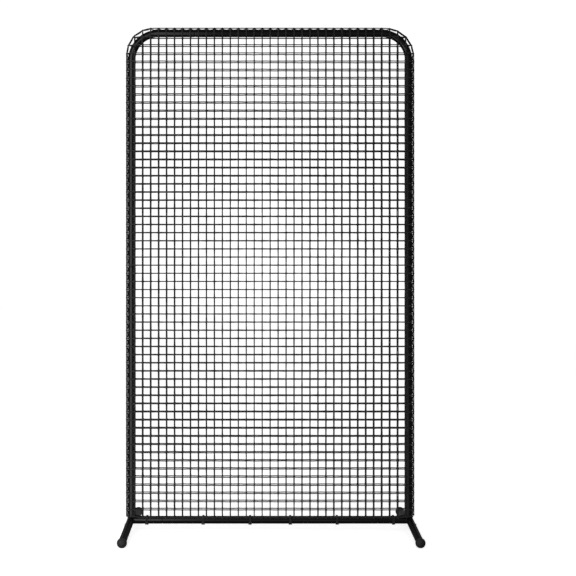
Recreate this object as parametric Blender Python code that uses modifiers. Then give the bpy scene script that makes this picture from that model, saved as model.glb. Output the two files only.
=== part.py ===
"""A pitching net, 4 ft wide and 7 ft high, on a black tube frame that comes apart.

The frame is a loop of steel tube with round top corners. Its sections plug together on
swaged ends, and each plug is locked by a sprung button. At each bottom corner a welded
fitting takes the upright, the bottom bar and two legs that slope down to rubber feet.
A net like a pillowcase is pulled over the frame from above: a front and a back sheet,
joined by a seam cord round the outside of the tubes, with a rope round the open mouth
that is tied down to the bottom bar.

+X is to the right, +Y runs from the front to the back, +Z is up and the feet stand on
z = 0, with the middle of the frame above the origin. Sizes are in metres.
"""

import math

import bmesh
import bpy
from mathutils import Matrix, Vector

# Frame
FRAME_WIDTH = 1.2192  # over the uprights
FRAME_HEIGHT = 2.119  # from under the bottom bar to over the top tube
TUBE_D = 0.0318
TUBE_WALL = 0.0015
CORNER_R = 0.114  # of the bent tube's centreline
BEND_TOP_LEG = 0.270  # from the upright's centreline to the end of the bend
BEND_SIDE_LEG = 1.000  # from the top tube's centreline to the end of the bend
BAR_AXIS_Z = 0.0465  # the bottom bar's centreline above the floor

# Plug joints
PLUG_LENGTH = 0.060
PLUG_FIT = 0.0004  # between a plug and its socket, on the radius
SHOULDER = 0.004  # length of the taper from tube to plug
GAP = 0.0003  # between pieces that touch

# Bottom corners and legs
STUB_UP = 0.081  # above the bottom bar's centreline
STUB_IN = 0.130  # towards the middle, from the upright's centreline
LEG_SOCKET = 0.100
LEG_OUTSET = 0.0045  # how far outside the upright's centreline the legs lie
FOOT_REACH = 0.325  # from the frame's plane to the middle of a foot

# Rubber feet
FOOT_R = 0.0205
FOOT_FLAT = 0.0008  # how far the ball is flattened on the floor
FOOT_RIM = 0.0105  # from the open rim to the middle of the ball
FOOT_DEPTH = 0.0045  # how far past the middle of the ball the leg reaches

# Sprung buttons
BUTTON_D = 0.0074
BUTTON_HOLE_D = 0.0082
BUTTON_DOME = 0.0035  # height above the tube
BUTTON_ROUND = 0.0022  # height of the rounded part
SPRING_WIDTH = 0.0080
SPRING_THICK = 0.0008
SPRING_TAIL = 0.009  # beyond the button
SPRING_FLAT = 0.012  # straight part of each leaf behind the button
SPRING_REACH = 0.046  # from the button to the nose
NOSE_R = 0.0034

# Net
NET_D = 0.0032  # twine
NET_STANDOFF = 0.0045  # how much wider than the frame the net is, on each side
NET_CORNER_R = 0.102  # of the net's outline, tighter than the frame's own bends
NET_COLUMNS = 8
NET_ROWS = 13
ROPE_D = 0.0050
ROPE_REST = math.radians(34)  # how far round the bar the rope lies, up from its front
ROPE_FALL = 0.050  # from an upright to where the rope has come down onto the bar
TIE_D = 0.0045
TIE_KNOT_D = 0.0110
TIE_KNOT_TURN = math.radians(27)  # how far round the bar a knot sits, down from its front
TIE_SHARES = (0.145, 0.483, 0.889)  # of the way from the middle to the upright, each side

# Fineness of the facets
TUBE_SIDES = 20
CORNER_STEPS = 9
FOOT_STEPS = 6
BUTTON_SIDES = 10
CORD_SIDES = 8
TIE_SIDES = 6
TIE_STEPS = 14

# What follows from the sizes above
TUBE_R = TUBE_D / 2
BORE_R = TUBE_R - TUBE_WALL
PLUG_R = BORE_R - PLUG_FIT
PLUG_BORE_R = PLUG_R - TUBE_WALL
SIDE_X = FRAME_WIDTH / 2 - TUBE_R
TOP_Z = BAR_AXIS_Z - TUBE_R + FRAME_HEIGHT - TUBE_R
BEND_END_X = SIDE_X - BEND_TOP_LEG
BEND_END_Z = TOP_Z - BEND_SIDE_LEG
STUB_TOP_Z = BAR_AXIS_Z + STUB_UP
STUB_END_X = SIDE_X - STUB_IN
FOOT_Z = FOOT_R - FOOT_FLAT
LEG_LENGTH = math.hypot(FOOT_REACH, BAR_AXIS_Z - FOOT_Z)
NET_INNER_R = TUBE_R + GAP
NET_OUTER_R = NET_INNER_R + NET_D
NET_SIDE_X = SIDE_X + NET_STANDOFF
NET_TOP_Z = TOP_Z + NET_STANDOFF
SEAM_HALF = NET_D / 2 + GAP  # from the seam cord's middle to the sheet on each side
ROPE_OFFSET = TUBE_R + GAP + ROPE_D / 2  # from a tube's centreline to the rope's
ROPE_Z = BAR_AXIS_Z + ROPE_OFFSET  # over the leg sockets, where it goes round an upright
ROPE_LOW_Y = ROPE_OFFSET * math.cos(ROPE_REST)
ROPE_LOW_Z = BAR_AXIS_Z + ROPE_OFFSET * math.sin(ROPE_REST)
NET_BOTTOM_Z = ROPE_Z + ROPE_D / 2 + GAP
RUN_ON = TUBE_WALL  # how far a cutter goes past an open end
# A leaf's outer face is where its two edges just clear the plug's bore.
SPRING_EDGE_R = PLUG_BORE_R * math.cos(math.pi / TUBE_SIDES) - GAP
SPRING_LEVEL = math.sqrt(SPRING_EDGE_R**2 - (SPRING_WIDTH / 2) ** 2)

SIDES = {"left": -1, "right": 1}
DEPTHS = {"front": -1, "rear": 1}


def clear_scene():
    for obj in list(bpy.data.objects):
        bpy.data.objects.remove(obj)


def new_collection(name, render=True):
    collection = bpy.data.collections.new(name)
    collection.hide_render = not render
    bpy.context.scene.collection.children.link(collection)
    return collection


def new_material(name, colour, roughness, metallic=0.0):
    material = bpy.data.materials.new(name)
    material.use_nodes = True
    shader = material.node_tree.nodes["Principled BSDF"]
    shader.inputs["Base Color"].default_value = (*colour, 1.0)
    shader.inputs["Roughness"].default_value = roughness
    shader.inputs["Metallic"].default_value = metallic
    return material


def add_object(name, data, collection, material=None):
    obj = bpy.data.objects.new(name, data)
    collection.objects.link(obj)
    if material:
        data.materials.append(material)
    return obj


def frame_at(origin, along, up):
    """A matrix whose X runs along a tube and whose Y points as near to up as it can."""
    x = Vector(along).normalized()
    z = x.cross(Vector(up)).normalized()
    y = z.cross(x)
    matrix = Matrix((x, y, z)).transposed().to_4x4()
    matrix.translation = Vector(origin)
    return matrix


def aim(obj, origin, direction):
    """Stands the object's own Z along a direction, at a point."""
    obj.matrix_world = Matrix.Translation(Vector(origin)) @ (
        Vector(direction).to_track_quat("Z", "Y").to_matrix().to_4x4()
    )


def smooth(mesh):
    mesh.shade_smooth()
    mesh.set_sharp_from_angle(angle=math.radians(35))


def baked(obj):
    """Makes the object a plain mesh of what its modifiers or its curve show."""
    bpy.context.view_layer.update()
    graph = bpy.context.evaluated_depsgraph_get()
    mesh = bpy.data.meshes.new_from_object(obj.evaluated_get(graph))
    work = bmesh.new()
    work.from_mesh(mesh)
    bmesh.ops.remove_doubles(work, verts=work.verts, dist=1e-6)
    work.to_mesh(mesh)
    work.free()
    made = bpy.data.objects.new(obj.name, mesh)
    made.matrix_world = obj.matrix_world
    for collection in obj.users_collection:
        collection.objects.link(made)
    name = obj.name
    bpy.data.objects.remove(obj)
    made.name = name
    return made


def boolean(obj, tool, operation="DIFFERENCE"):
    modifier = obj.modifiers.new(f"{operation.lower()} {tool.name}", "BOOLEAN")
    modifier.object = tool
    modifier.operation = operation
    modifier.solver = "EXACT"


def poly_curve(name, points, closed=False):
    curve = bpy.data.curves.new(name, "CURVE")
    curve.dimensions = "3D"
    spline = curve.splines.new("POLY")
    spline.points.add(len(points) - 1)
    for point, place in zip(spline.points, points):
        point.co = (*place, 1.0)
    spline.use_cyclic_u = closed
    return curve


def rod(name, points, radius, sides, collection, material=None, closed=False):
    """A round bar along a path, as a mesh."""
    curve = poly_curve(name, points, closed)
    curve.bevel_depth = radius
    curve.bevel_resolution = (sides - 4) // 2
    curve.use_fill_caps = True
    made = baked(add_object(name, curve, collection))
    if material:
        made.data.materials.append(material)
    smooth(made.data)
    return made


def turned(name, profile, sides, collection, material, closed=False):
    """A profile of (radius, height) turned about Z. It runs down its outer side."""
    mesh = bpy.data.meshes.new(name)
    points = [(radius, 0.0, height) for radius, height in profile]
    count = len(points)
    edges = [(i, (i + 1) % count) for i in range(count if closed else count - 1)]
    mesh.from_pydata(points, edges, [])
    obj = add_object(name, mesh, collection, material)
    screw = obj.modifiers.new("turn", "SCREW")
    screw.steps = sides
    screw.render_steps = sides
    screw.use_merge_vertices = True
    screw.merge_threshold = 1e-5
    screw.use_smooth_shade = True
    return obj


def around(radius, steps):
    """How far out the corners of a ring of straight steps lie, for it to clear a circle."""
    return radius / math.cos(math.pi / steps)


def helper_box(name, low, high):
    mesh = bpy.data.meshes.new(name)
    box = bmesh.new()
    bmesh.ops.create_cube(box, size=1.0)
    size = [b - a for a, b in zip(low, high)]
    middle = [(a + b) / 2 for a, b in zip(low, high)]
    bmesh.ops.scale(box, vec=size, verts=box.verts)
    bmesh.ops.translate(box, vec=middle, verts=box.verts)
    box.to_mesh(mesh)
    box.free()
    return hide_helper(add_object(name, mesh, HELPERS))


def hide_helper(obj):
    obj.hide_render = True
    obj.display_type = "WIRE"
    return obj


def helper_rod(name, points, radius, sides=TUBE_SIDES):
    return hide_helper(rod(name, points, radius, sides, HELPERS))


def top_corner(side, run_on=0.0):
    """The bent tube's centreline, from its end on top, round the corner and down the side."""
    centre_x = SIDE_X - CORNER_R
    centre_z = TOP_Z - CORNER_R
    path = [(side * (BEND_END_X - run_on), 0.0, TOP_Z)]
    for step in range(CORNER_STEPS + 1):
        angle = math.pi / 2 * (1 - step / CORNER_STEPS)
        x = centre_x + CORNER_R * math.cos(angle)
        z = centre_z + CORNER_R * math.sin(angle)
        path.append((side * x, 0.0, z))
    path.append((side * SIDE_X, 0.0, BEND_END_Z - run_on))
    return path


def corner_bend(label, side):
    """One top corner of the frame: a tube bent through a quarter turn, open at both ends."""
    name = f"corner_bend_{label}"
    obj = rod(name, top_corner(side), TUBE_R, TUBE_SIDES, PARTS, PAINT)
    boolean(obj, helper_rod(f"{name}_bore", top_corner(side, RUN_ON), BORE_R))
    return obj


def plugged_tube(name, start, end):
    """A straight frame section between two joints, with a swaged plug at each end."""
    run = Vector(end) - Vector(start)
    length = run.length
    outer = [
        (PLUG_R, -PLUG_LENGTH),
        (PLUG_R, 0.0),
        (TUBE_R, SHOULDER),
        (TUBE_R, length - SHOULDER),
        (PLUG_R, length),
        (PLUG_R, length + PLUG_LENGTH),
    ]
    inner = [(radius - TUBE_WALL, height) for radius, height in outer]
    obj = turned(name, outer[::-1] + inner, TUBE_SIDES, PARTS, PAINT, closed=True)
    aim(obj, start, run)
    return obj


def leg_direction(depth):
    """The way a leg slopes from its fitting to its foot."""
    return Vector((0.0, depth * FOOT_REACH, FOOT_Z - BAR_AXIS_Z)).normalized()


def leg_node(side):
    """Where the centrelines of a corner's two legs meet."""
    return Vector((side * (SIDE_X + LEG_OUTSET), 0.0, BAR_AXIS_Z))


def corner_fitting(label, side):
    """A bottom corner, welded up from tube: two leg sockets, an upright stub and a bar stub."""
    name = f"corner_fitting_{label}"
    node = Vector((side * SIDE_X, 0.0, BAR_AXIS_Z))
    ridge = leg_node(side)
    front, rear = (leg_direction(depth) for depth in DEPTHS.values())
    legs = [ridge + front * LEG_SOCKET, ridge, ridge + rear * LEG_SOCKET]
    obj = rod(name, legs, TUBE_R, TUBE_SIDES, PARTS, PAINT)
    reach = LEG_SOCKET + RUN_ON
    bores = [ridge + front * reach, ridge, ridge + rear * reach]
    for stub, way, length in (
        ("upright", Vector((0.0, 0.0, 1.0)), STUB_UP),
        ("bar", Vector((-side, 0.0, 0.0)), STUB_IN),
    ):
        outside = helper_rod(f"{name}_{stub}_stub", [node, node + way * length], TUBE_R)
        inside = [node + way * TUBE_R, node + way * (length + RUN_ON)]
        bore = helper_rod(f"{name}_{stub}_bore", inside, BORE_R)
        boolean(obj, outside, "UNION")
        boolean(obj, bore)
    boolean(obj, helper_rod(f"{name}_leg_bore", bores, BORE_R))
    return obj


def leg(label, side, depth):
    """A straight leg: a swaged plug in its socket, then full tube to inside its foot."""
    way = leg_direction(depth)
    length = LEG_LENGTH + FOOT_DEPTH - LEG_SOCKET
    outer = [(PLUG_R, -PLUG_LENGTH), (PLUG_R, 0.0), (TUBE_R, SHOULDER), (TUBE_R, length)]
    inner = [(radius - TUBE_WALL, height) for radius, height in outer]
    wall = outer[::-1] + inner
    obj = turned(f"leg_{label}", wall, TUBE_SIDES, PARTS, PAINT, closed=True)
    aim(obj, leg_node(side) + way * LEG_SOCKET, way)
    return obj


def foot(label, side, depth):
    """A rubber ball pushed over a leg's end, flat where it stands."""
    bore_r = TUBE_R + PLUG_FIT
    last = math.acos(-FOOT_RIM / FOOT_R)
    angles = [last * step / FOOT_STEPS for step in range(FOOT_STEPS + 1)]
    profile = [(FOOT_R * math.sin(a), FOOT_R * math.cos(a)) for a in angles]
    profile += [(bore_r, -FOOT_RIM), (bore_r, FOOT_DEPTH + GAP), (0.0, FOOT_DEPTH + GAP)]
    obj = turned(f"foot_{label}", profile, TUBE_SIDES, PARTS, RUBBER)
    way = leg_direction(depth)
    aim(obj, leg_node(side) + way * LEG_LENGTH, way)
    boolean(obj, FLOOR)
    return obj


def button_lock(label, place, into_plug, out, walls):
    """A sprung button in a plug, and the holes for it in the plug and its socket.

    into_plug runs from the plug's free end towards its tube, and out is the way the
    button stands out. The button slides along out, so that is its own Z.
    """
    middle = Vector(place)
    frame = frame_at(middle, into_plug, out)
    joint = bpy.data.objects.new(f"joint_{label}", None)
    joint.matrix_world = frame
    PARTS.objects.link(joint)

    leaf = SPRING_LEVEL - SPRING_THICK / 2
    path = [
        (-SPRING_TAIL, leaf, 0.0),
        (SPRING_FLAT, leaf, 0.0),
        (SPRING_REACH - NOSE_R, NOSE_R, 0.0),
        (SPRING_REACH, 0.0, 0.0),
        (SPRING_REACH - NOSE_R, -NOSE_R, 0.0),
        (SPRING_FLAT, -leaf, 0.0),
        (0.0, -leaf, 0.0),
    ]
    ribbon = poly_curve(f"spring_{label}", path)
    ribbon.extrude = SPRING_WIDTH / 2
    spring = add_object(f"spring_{label}", ribbon, PARTS, STEEL)
    spring.parent = joint
    thickness = spring.modifiers.new("thickness", "SOLIDIFY")
    thickness.thickness = SPRING_THICK
    thickness.offset = 0.0

    low = SPRING_LEVEL + GAP
    high = TUBE_R + BUTTON_DOME
    radius = BUTTON_D / 2
    profile = [
        (0.0, high),
        (radius * 0.6, high - BUTTON_ROUND * 0.2),
        (radius, high - BUTTON_ROUND),
        (radius, low),
        (0.0, low),
    ]
    button = turned(f"button_{label}", profile, BUTTON_SIDES, PARTS, STEEL)
    button.parent = joint
    button.matrix_parent_inverse = Matrix.Identity(4)
    button.rotation_euler = (-math.pi / 2, 0.0, 0.0)

    outward = frame.to_3x3() @ Vector((0.0, 1.0, 0.0))
    ends = [middle + outward * low, middle + outward * high]
    hole = helper_rod(f"hole_{label}", ends, BUTTON_HOLE_D / 2, BUTTON_SIDES)
    for wall in walls:
        boolean(wall, hole)


def net_outline(radius_more=0.0, low=0.0):
    """The seam's line: up the left side, round both top corners and down the right."""
    radius = NET_CORNER_R
    centre_x = NET_SIDE_X - NET_CORNER_R
    centre_z = NET_TOP_Z - NET_CORNER_R
    path = [(-NET_SIDE_X - radius_more, low)]
    for side in (-1, 1):
        for step in range(CORNER_STEPS + 1):
            turn = step / CORNER_STEPS if side < 0 else 1 - step / CORNER_STEPS
            angle = math.pi / 2 * turn
            x = side * (centre_x + (radius + radius_more) * math.cos(angle))
            path.append((x, centre_z + (radius + radius_more) * math.sin(angle)))
    path.append((NET_SIDE_X + radius_more, low))
    return path


def pillow(name, roll_r):
    """A solid with the net's outline, flat in front and behind, with half-round edges."""
    curve = bpy.data.curves.new(name, "CURVE")
    curve.dimensions = "2D"
    curve.fill_mode = "BOTH"
    spline = curve.splines.new("POLY")
    outline = net_outline()
    spline.points.add(len(outline) - 1)
    for point, (x, z) in zip(spline.points, outline):
        point.co = (x, z, 0.0, 1.0)
    spline.use_cyclic_u = True
    curve.bevel_depth = roll_r
    curve.bevel_resolution = 2
    obj = add_object(name, curve, HELPERS)
    obj.matrix_world = Matrix.Rotation(math.pi / 2, 4, "X")
    return hide_helper(baked(obj))


def net_holes():
    """The gaps of one sheet as a grid of blocks. The outer ones run on past the seam."""
    edge_x = NET_SIDE_X + NET_OUTER_R + NET_D
    edge_z = NET_TOP_Z + NET_OUTER_R + NET_D
    pitch_x = 2 * edge_x / NET_COLUMNS
    pitch_z = (edge_z - NET_BOTTOM_Z + NET_D) / NET_ROWS
    block = helper_box(
        "net_holes",
        (-edge_x + NET_D / 2, -2 * NET_OUTER_R, NET_BOTTOM_Z - NET_D / 2),
        (-edge_x + pitch_x - NET_D / 2, -SEAM_HALF - NET_D, NET_BOTTOM_Z - NET_D * 1.5 + pitch_z),
    )
    for name, count, offset in (
        ("columns", NET_COLUMNS, (pitch_x, 0.0, 0.0)),
        ("rows", NET_ROWS, (0.0, 0.0, pitch_z)),
    ):
        array = block.modifiers.new(name, "ARRAY")
        array.count = count
        array.use_relative_offset = False
        array.use_constant_offset = True
        array.constant_offset_displace = offset
    return block


def net():
    """The two sheets, the cord that joins them round the frame, and the rope at the mouth."""
    span_x = NET_SIDE_X + 2 * NET_OUTER_R
    front_half = helper_box(
        "net_front_half",
        (-span_x, -2 * NET_OUTER_R, NET_BOTTOM_Z),
        (span_x, -SEAM_HALF, NET_TOP_Z + 2 * NET_OUTER_R),
    )
    sheet = pillow("net_front", NET_OUTER_R)
    boolean(sheet, pillow("net_inside", NET_INNER_R))
    boolean(sheet, front_half, "INTERSECT")
    boolean(sheet, net_holes())
    sheet = baked(sheet)
    sheet.data.materials.clear()
    sheet.data.materials.append(TWINE)
    HELPERS.objects.unlink(sheet)
    PARTS.objects.link(sheet)
    sheet.hide_render = False
    back = add_object("net_back", sheet.data, PARTS)
    back.matrix_world = Matrix.Rotation(math.pi, 4, "Z") @ sheet.matrix_world

    seam = net_outline(NET_INNER_R + NET_D / 2, NET_BOTTOM_Z)
    path = [(x, 0.0, z) for x, z in seam]
    rod("net_seam_cord", path, NET_D / 2, CORD_SIDES, PARTS, TWINE)

    mouth = []
    round_side = around(ROPE_OFFSET, 2 * CORNER_STEPS)
    down_x = SIDE_X - ROPE_FALL
    for side in (-1, 1):
        mouth.append((side * down_x, -side * ROPE_LOW_Y, ROPE_LOW_Z))
        for step in range(CORNER_STEPS + 1):
            angle = math.pi * (step / CORNER_STEPS - 0.5)
            x = side * (SIDE_X + round_side * math.cos(angle))
            mouth.append((x, side * round_side * math.sin(angle), ROPE_Z))
        mouth.append((side * down_x, side * ROPE_LOW_Y, ROPE_LOW_Z))
    rod("net_mouth_rope", mouth, ROPE_D / 2, CORD_SIDES, PARTS, TWINE, closed=True)


def net_tie(label, x):
    """A cord tied round the bottom bar and both runs of the mouth rope, knotted low in front.

    Its loop is the outline that a band has when it is stretched round the three. In each
    direction it touches whichever round reaches furthest that way, and its corners are
    where one touching line meets the next.
    """
    more = GAP + TIE_D / 2
    rounds = [(0.0, BAR_AXIS_Z, TUBE_R + more)]
    rounds += [(side * ROPE_LOW_Y, ROPE_LOW_Z, ROPE_D / 2 + more) for side in (-1, 1)]

    def reach(angle):
        y, z = math.cos(angle), math.sin(angle)
        return max(cy * y + cz * z + radius for cy, cz, radius in rounds)

    turn = 2 * math.pi / TIE_STEPS
    path = []
    for step in range(TIE_STEPS):
        a, b = turn * (step + 0.5), turn * (step + 1.5)
        y = (reach(a) * math.sin(b) - reach(b) * math.sin(a)) / math.sin(turn)
        z = (reach(b) * math.cos(a) - reach(a) * math.cos(b)) / math.sin(turn)
        path.append((x, y, z))
    obj = rod(f"net_tie_{label}", path, TIE_D / 2, TIE_SIDES, PARTS, TWINE, closed=True)

    knot = bmesh.new()
    bmesh.ops.create_uvsphere(knot, u_segments=8, v_segments=6, radius=TIE_KNOT_D / 2)
    mesh = bpy.data.meshes.new(f"knot_{label}")
    knot.to_mesh(mesh)
    knot.free()
    ball = hide_helper(add_object(f"knot_{label}", mesh, HELPERS))
    clear = TUBE_R + GAP + TIE_KNOT_D / 2
    down = clear * math.sin(TIE_KNOT_TURN)
    ball.location = (x, -clear * math.cos(TIE_KNOT_TURN), BAR_AXIS_Z - down)
    boolean(obj, ball, "UNION")
    return obj


clear_scene()
PARTS = new_collection("pitching_net")
HELPERS = new_collection("cutters", render=False)
PAINT = new_material("black_powder_coat", (0.012, 0.012, 0.013), 0.38)
RUBBER = new_material("black_rubber", (0.020, 0.020, 0.021), 0.75)
STEEL = new_material("zinc_plated_steel", (0.55, 0.55, 0.56), 0.30, 1.0)
TWINE = new_material("black_twine", (0.025, 0.025, 0.026), 0.85)

FLOOR = helper_box("floor", (-1.0, -1.0, -0.1), (1.0, 1.0, 0.0))

UP, DOWN = Vector((0.0, 0.0, 1.0)), Vector((0.0, 0.0, -1.0))
REAR = Vector((0.0, 1.0, 0.0))

top_tube = plugged_tube("top_tube", (-BEND_END_X, 0.0, TOP_Z), (BEND_END_X, 0.0, TOP_Z))
bottom_bar = plugged_tube(
    "bottom_bar", (-STUB_END_X, 0.0, BAR_AXIS_Z), (STUB_END_X, 0.0, BAR_AXIS_Z)
)
for label, side in SIDES.items():
    x = side * SIDE_X
    outward = Vector((side, 0.0, 0.0))
    half = PLUG_LENGTH / 2
    bend = corner_bend(label, side)
    fitting = corner_fitting(label, side)
    upright = plugged_tube(f"upright_{label}", (x, 0.0, STUB_TOP_Z), (x, 0.0, BEND_END_Z))
    place = (side * (BEND_END_X + half), 0.0, TOP_Z)
    button_lock(f"top_{label}", place, -outward, REAR, (bend, top_tube))
    place = (x, 0.0, BEND_END_Z + half)
    button_lock(f"side_{label}", place, DOWN, REAR, (bend, upright))
    place = (x, 0.0, STUB_TOP_Z - half)
    button_lock(f"upright_{label}", place, UP, REAR, (fitting, upright))
    place = (side * (STUB_END_X + half), 0.0, BAR_AXIS_Z)
    button_lock(f"bar_{label}", place, -outward, REAR, (fitting, bottom_bar))
    for end, depth in DEPTHS.items():
        tube = leg(f"{end}_{label}", side, depth)
        foot(f"{end}_{label}", side, depth)
        way = leg_direction(depth)
        place = leg_node(side) + way * (LEG_SOCKET - half)
        button_lock(f"leg_{end}_{label}", place, way, outward, (fitting, tube))

net()
for number, share in enumerate(TIE_SHARES, 1):
    for label, side in SIDES.items():
        net_tie(f"{label}_{number}", side * share * SIDE_X)
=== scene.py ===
import math

import bpy
import numpy as np
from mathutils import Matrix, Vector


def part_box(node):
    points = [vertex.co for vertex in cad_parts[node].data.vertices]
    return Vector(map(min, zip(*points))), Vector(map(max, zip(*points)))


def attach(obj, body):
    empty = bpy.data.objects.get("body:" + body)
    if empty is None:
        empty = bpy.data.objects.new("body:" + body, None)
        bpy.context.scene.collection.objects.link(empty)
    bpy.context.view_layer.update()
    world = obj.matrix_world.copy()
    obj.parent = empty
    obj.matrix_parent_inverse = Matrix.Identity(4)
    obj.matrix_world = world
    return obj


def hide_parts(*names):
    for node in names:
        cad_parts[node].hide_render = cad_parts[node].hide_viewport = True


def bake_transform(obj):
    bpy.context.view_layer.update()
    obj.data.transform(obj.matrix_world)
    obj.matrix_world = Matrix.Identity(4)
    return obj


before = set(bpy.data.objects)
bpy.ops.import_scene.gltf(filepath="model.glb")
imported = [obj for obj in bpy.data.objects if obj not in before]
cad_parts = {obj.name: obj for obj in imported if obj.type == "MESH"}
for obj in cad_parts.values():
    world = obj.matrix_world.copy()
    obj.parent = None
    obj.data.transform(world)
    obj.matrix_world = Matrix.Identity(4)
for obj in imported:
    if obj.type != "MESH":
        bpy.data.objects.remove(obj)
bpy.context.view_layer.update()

# ---------------------------------------------------------------------------
# Camera
# A long lens on a level tripod, a little left of the net's middle, as the product shot was
# taken. The net stands left in the picture, so the lens is shifted sideways and not turned.
# ---------------------------------------------------------------------------

lens = bpy.data.cameras.new("studio_camera")
lens.lens = 71.364
lens.sensor_width = 36.0
lens.shift_x = 0.05607
lens.shift_y = 0.00153
camera = bpy.data.objects.new("studio_camera", lens)
camera.location = (-0.062, -4.9, 1.038)
camera.rotation_euler = (math.radians(90), 0.0, 0.0)
bpy.context.scene.collection.objects.link(camera)
bpy.context.scene.camera = camera

# ---------------------------------------------------------------------------
# Straight frame sections: the top tube, the bottom bar and the two lower uprights
# Welded steel tube, 31.8 mm across with a 1.5 mm wall, each end swaged down to a plug that
# slides into its neighbour. Black powder coat, sprayed on and baked before assembly.
# ---------------------------------------------------------------------------

tube_radius = 0.0159
tube_wall = 0.0015
tube_sides = 48
plug_radius = 0.0140
plug_length = 0.060
shoulder_length = 0.004
side_x = 0.5937
top_z = 2.1337
bar_z = 0.0465
bend_end_x = 0.3237
bend_end_z = 1.1337
stub_end_x = 0.4637
stub_end_z = 0.1275
hole_radius = 0.0041
hole_ring_step = 0.00208
rim_width = 0.001
rear = np.array([0.0, 1.0, 0.0])
sides = {"left": -1.0, "right": 1.0}


def unit(vectors):
    """Each vector over its own length."""
    return vectors / np.linalg.norm(vectors, axis=-1, keepdims=True)


def rings_along(path, out, radius, count):
    """Rings of points round paths: tubes x rings x count x 3.

    A ring's point is the path's point plus radius times (cos a . out + sin a . across), with
    a from -180 to 180 degrees. out is made square to the run, and across is run x out.
    """
    path = path if path.ndim == 3 else path[None]
    run = unit(np.gradient(path, axis=1))
    out = np.broadcast_to(out, path.shape)
    out = unit(out - (out * run).sum(-1, keepdims=True) * run)
    across = np.cross(run, out)
    angle = 2 * np.pi * np.arange(count) / count - np.pi
    radius = np.broadcast_to(np.asarray(radius, float), path.shape[:2])[..., None, None]
    ring = np.cos(angle)[:, None] * out[:, :, None] + np.sin(angle)[:, None] * across[:, :, None]
    return path[:, :, None] + radius * ring


def skin(points, looped=False, capped=True, keep=None):
    """Faces over tubes of points: (points, corners, face sizes, uv).

    Each point joins the next round its ring and the same place on the next ring. looped also
    joins the last ring to the first, capped closes the ends, and keep leaves out squares. uv
    is the share of the way round, by the length along the tube in metres.
    """
    tubes, rings, count, _ = points.shape
    index = np.arange(tubes * rings * count).reshape(tubes, rings, count)
    near, far = (index, np.roll(index, -1, 1)) if looped else (index[:, :-1], index[:, 1:])
    corners = np.stack([near, np.roll(near, -1, 2), np.roll(far, -1, 2), far], -1)
    middle = points.mean(2)
    if looped:
        middle = np.concatenate([middle, middle[:, :1]], 1)
    steps = np.linalg.norm(np.diff(middle, axis=1), axis=-1)
    length = np.concatenate([np.zeros((tubes, 1)), np.cumsum(steps, 1)], 1)
    turn = np.arange(count + 1) / count
    shape = corners.shape[:3]
    v0, v1 = (np.broadcast_to(v[..., None], shape) for v in (length[:, :-1], length[:, 1:]))
    u0, u1 = (np.broadcast_to(u, shape) for u in (turn[:-1], turn[1:]))
    uv = np.stack([np.stack(p, -1) for p in ((u0, v0), (u1, v0), (u1, v1), (u0, v1))], -2)
    if keep is not None:
        corners, uv = corners[keep], uv[keep]
    corners, uv = corners.reshape(-1), uv.reshape(-1, 2)
    sizes = np.full(len(corners) // 4, 4)
    if capped and not looped:
        ends = np.concatenate([index[:, 0, ::-1], index[:, -1]])
        corners = np.concatenate([corners, ends.reshape(-1)])
        sizes = np.concatenate([sizes, np.full(len(ends), count)])
        uv = np.concatenate([uv, np.zeros((ends.size, 2))])
    return points.reshape(-1, 3), corners, sizes, uv


def piece(name, skins, material, smooth=True):
    """One mesh object from skins, without the points that no face uses, at the origin."""
    starts = np.cumsum([0] + [len(s[0]) for s in skins])
    points = np.concatenate([s[0] for s in skins])
    corners = np.concatenate([s[1] + start for s, start in zip(skins, starts)])
    sizes = np.concatenate([s[2] for s in skins])
    uv = np.concatenate([s[3] for s in skins])
    used, corners = np.unique(corners, return_inverse=True)
    mesh = bpy.data.meshes.new(name)
    mesh.vertices.add(len(used))
    mesh.vertices.foreach_set("co", points[used].astype(np.float32).ravel())
    mesh.loops.add(len(corners))
    mesh.loops.foreach_set("vertex_index", corners.astype(np.int32).ravel())
    mesh.polygons.add(len(sizes))
    mesh.polygons.foreach_set("loop_start", (np.cumsum(sizes) - sizes).astype(np.int32))
    mesh.polygons.foreach_set("use_smooth", np.full(len(sizes), smooth))
    mesh.uv_layers.new(name="along").data.foreach_set("uv", uv.astype(np.float32).ravel())
    mesh.update(calc_edges=True)
    mesh.validate()
    mesh.materials.append(material)
    made = bpy.data.objects.new(name, mesh)
    bpy.context.scene.collection.objects.link(made)
    return made


def with_holes(points, path, out, rows, half=3):
    """Skins of one tube with a round hole at each given ring, on the side that faces out.

    The squares of a block round the hole are left out. Between the block's edge and the
    hole's, points run straight from each edge point to the circle in the same direction,
    and are lifted onto the tube: height = root(radius squared - across squared).
    """
    rings, count = points.shape[1:3]
    keep = np.ones((1, rings - 1, count), bool)
    turn = np.arange(-half, half)
    loop = [(-half, j) for j in turn] + [(i, half) for i in turn]
    loop = np.array(loop + [(half, -j) for j in turn] + [(-i, -half) for i in turn])
    patches = []
    for row in rows:
        keep[0, row - half:row + half, count // 2 - half:count // 2 + half] = False
        edge = points[0, row + loop[:, 0], count // 2 + loop[:, 1]]
        run = unit(path[row + 1] - path[row - 1])
        facing = unit(out - (out @ run) * run)
        across = np.cross(run, facing)
        radius = np.linalg.norm(points[0, row, 0] - path[row])
        flat = np.stack([(edge - path[row]) @ across, (edge - path[row]) @ run], -1)
        share = np.linspace(0, 1, 4)[:, None, None]
        flat = (1 - share) * flat + share * unit(flat) * hole_radius
        height = np.sqrt(radius**2 - flat[..., :1] ** 2)
        patch = path[row] + flat[..., :1] * across + flat[..., 1:] * run + height * facing
        patch[0] = edge
        patches.append(skin(patch[None], capped=False))
    return [skin(points, capped=False, keep=keep)] + patches


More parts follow.
